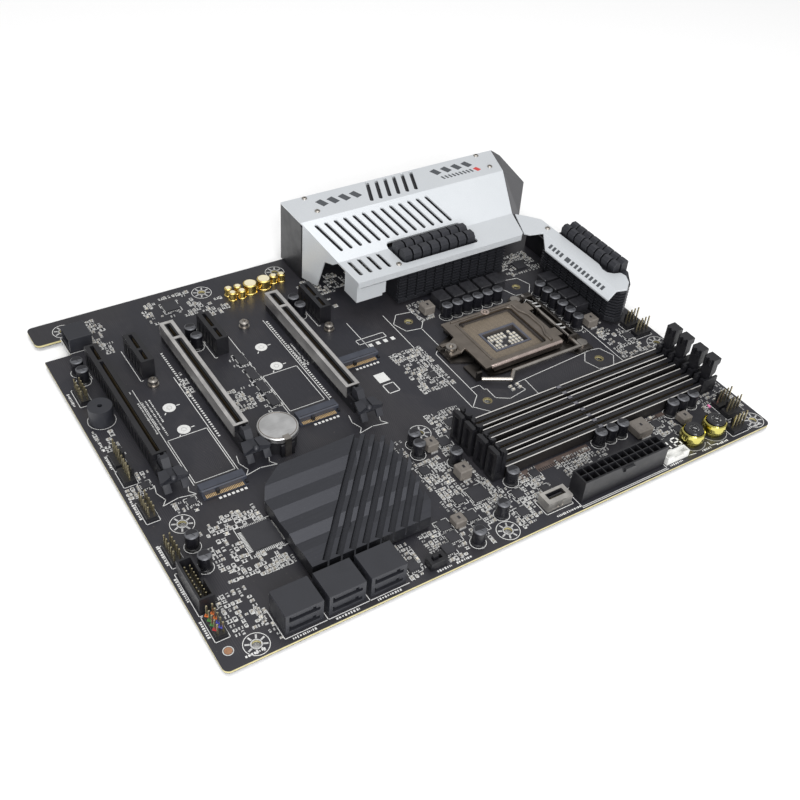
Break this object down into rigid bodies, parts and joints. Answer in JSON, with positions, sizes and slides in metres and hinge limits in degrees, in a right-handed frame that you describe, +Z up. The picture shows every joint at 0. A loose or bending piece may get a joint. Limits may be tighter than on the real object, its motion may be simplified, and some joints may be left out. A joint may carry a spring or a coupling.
{
  "type": "computer motherboard",
  "caption": "Full-size computer motherboard with processor socket, memory and card slots, finned heatsinks, headers and a folded silver cover over its rear connectors.",
  "frame": {"origin": "under the middle of the assembly, at the height of the lowest screw heads", "axes": "+X from the rear connectors to the front edge, +Y from the card slots' end to the far edge, +Z up from the component side"},
  "size_m": [0.2458, 0.3048, 0.0418],
  "materials": {
    "board": "satin solder mask",
    "steel": "plain",
    "frame_steel": "dark nickel",
    "rail_steel": "nickel plated",
    "shield_steel": "satin nickel",
    "cell_steel": "satin",
    "steel_dark": "black plated",
    "steel_satin": "satin nickel",
    "socket_plastic": "matte",
    "black_plastic": "satin",
    "grey_plastic": "satin",
    "slate_plastic": "satin",
    "white_plastic": "satin",
    "silver_paint": "satin silver",
    "dark_cap": "satin",
    "black_anodised": "black anodised",
    "pad": "matte",
    "port_shell": "nickel plated",
    "gold": "gold plated",
    "gold_chrome": "polished",
    "gloss_black": "gloss",
    "can": "printed top, dark sleeve",
    "gold_can": "lacquered",
    "ferrite": "matte",
    "beige_ferrite": "matte",
    "chip_epoxy": "matte"
  },
  "bodies": {
    "board_assembly": {"pcb": "board", "cpu_backplate": "steel_dark", "cpu_socket_body": "socket_plastic", "socket_frame": "frame_steel", "socket_screws": "steel", "dimm_slots": "black_plastic", "dimm_shields": "rail_steel", "pcie_x16_slots": "black_plastic", "pcie_shields": "shield_steel", "pcie_x1_slots": "black_plastic", "m2_connectors": "grey_plastic", "m2_standoffs": "steel", "m2_screws": "steel", "chipset_heatsink": "black_anodised", "vrm_heatsink_rear": "black_anodised", "vrm_heatsink_top": "black_anodised", "heatsink_screws": "steel_dark", "thermal_pads": "pad", "io_shroud": "silver_paint", "shroud_end_wall": "black_plastic", "shroud_end_cap": "dark_cap", "top_bar": "silver_paint", "cover_screws": "steel", "rear_usb_ports": "port_shell", "rear_lan_port": "port_shell", "rear_display_ports": "port_shell", "rear_audio_jacks": "black_plastic", "sata_ports": "slate_plastic", "atx_power_connector": "black_plastic", "eps_power_connector": "black_plastic", "usb3_header": "black_plastic", "usb_front_connector": "port_shell", "probe_header": "white_plastic", "pin_headers": "black_plastic", "header_pins": "gold", "audio_header": "slate_plastic", "button_housings": "gold_chrome", "bios_switch": "black_plastic", "segment_display": "gloss_black", "capacitors": "can", "gold_capacitors": "gold_can", "vrm_chokes": "ferrite", "beige_chokes": "beige_ferrite", "chips": "chip_epoxy", "battery_holder": "black_plastic", "battery_clip": "steel", "coin_cell": "cell_steel", "buzzer": "slate_plastic"},
    "dimm_latch_1": {"dimm_latch_1": "black_plastic"},
    "dimm_latch_2": {"dimm_latch_2": "black_plastic"},
    "dimm_latch_3": {"dimm_latch_3": "black_plastic"},
    "dimm_latch_4": {"dimm_latch_4": "black_plastic"},
    "pcie_latch_1": {"pcie_latch_1": "slate_plastic"},
    "pcie_latch_2": {"pcie_latch_2": "slate_plastic"},
    "pcie_latch_3": {"pcie_latch_3": "slate_plastic"},
    "socket_lever": {"socket_lever": "steel"},
    "socket_load_plate": {"socket_load_plate": "steel_satin"},
    "power_button": {"power_button": "gloss_black"},
    "reset_button": {"reset_button": "gloss_black"},
    "bios_switch_slider": {"bios_switch_slider": "gloss_black"}
  },
  "joints": [
    {"name": "dimm_latch_1_hinge", "type": "hinge", "parent": "board_assembly", "child": "dimm_latch_1", "pos_m": [0.05688, 0.1402, 0.007], "axis": [-1, 0, 0], "range_deg": [0, 35]},
    {"name": "dimm_latch_2_hinge", "type": "hinge", "parent": "board_assembly", "child": "dimm_latch_2", "pos_m": [0.06588, 0.1402, 0.007], "axis": [-1, 0, 0], "range_deg": [0, 35]},
    {"name": "dimm_latch_3_hinge", "type": "hinge", "parent": "board_assembly", "child": "dimm_latch_3", "pos_m": [0.07608, 0.1402, 0.007], "axis": [-1, 0, 0], "range_deg": [0, 35]},
    {"name": "dimm_latch_4_hinge", "type": "hinge", "parent": "board_assembly", "child": "dimm_latch_4", "pos_m": [0.08518, 0.1402, 0.007], "axis": [-1, 0, 0], "range_deg": [0, 35]},
    {"name": "pcie_latch_1_hinge", "type": "hinge", "parent": "board_assembly", "child": "pcie_latch_1", "pos_m": [0.01368, -0.131, 0.0078], "axis": [0, 1, 0], "range_deg": [0, 15]},
    {"name": "pcie_latch_2_hinge", "type": "hinge", "parent": "board_assembly", "child": "pcie_latch_2", "pos_m": [0.01368, -0.09036, 0.0078], "axis": [0, 1, 0], "range_deg": [0, 15]},
    {"name": "pcie_latch_3_hinge", "type": "hinge", "parent": "board_assembly", "child": "pcie_latch_3", "pos_m": [0.01368, -0.0294, 0.0078], "axis": [0, 1, 0], "range_deg": [0, 15]},
    {"name": "socket_lever_hinge", "type": "hinge", "parent": "board_assembly", "child": "socket_lever", "pos_m": [0.00308, 0.1016, 0.007], "axis": [-1, 0, 0], "range_deg": [0, 130]},
    {"name": "load_plate_hinge", "type": "hinge", "parent": "board_assembly", "child": "socket_load_plate", "pos_m": [0.00308, 0.0978, 0.0088], "axis": [-1, 0, 0], "range_deg": [0, 104]},
    {"name": "power_button_press", "type": "slide", "parent": "board_assembly", "child": "power_button", "axis": [0, 0, -1], "range_m": [0, 0.0005], "stiffness_N_per_m": 600, "springref_m": -0.001},
    {"name": "reset_button_press", "type": "slide", "parent": "board_assembly", "child": "reset_button", "axis": [0, 0, -1], "range_m": [0, 0.0005], "stiffness_N_per_m": 600, "springref_m": -0.001},
    {"name": "bios_switch_slide", "type": "slide", "parent": "board_assembly", "child": "bios_switch_slider", "axis": [0, 1, 0], "range_m": [0, 0.0019]}
  ],
  "couplings": [
    {"joint": "load_plate_hinge", "follows": "socket_lever_hinge", "ratio": 0.8}
  ]
}
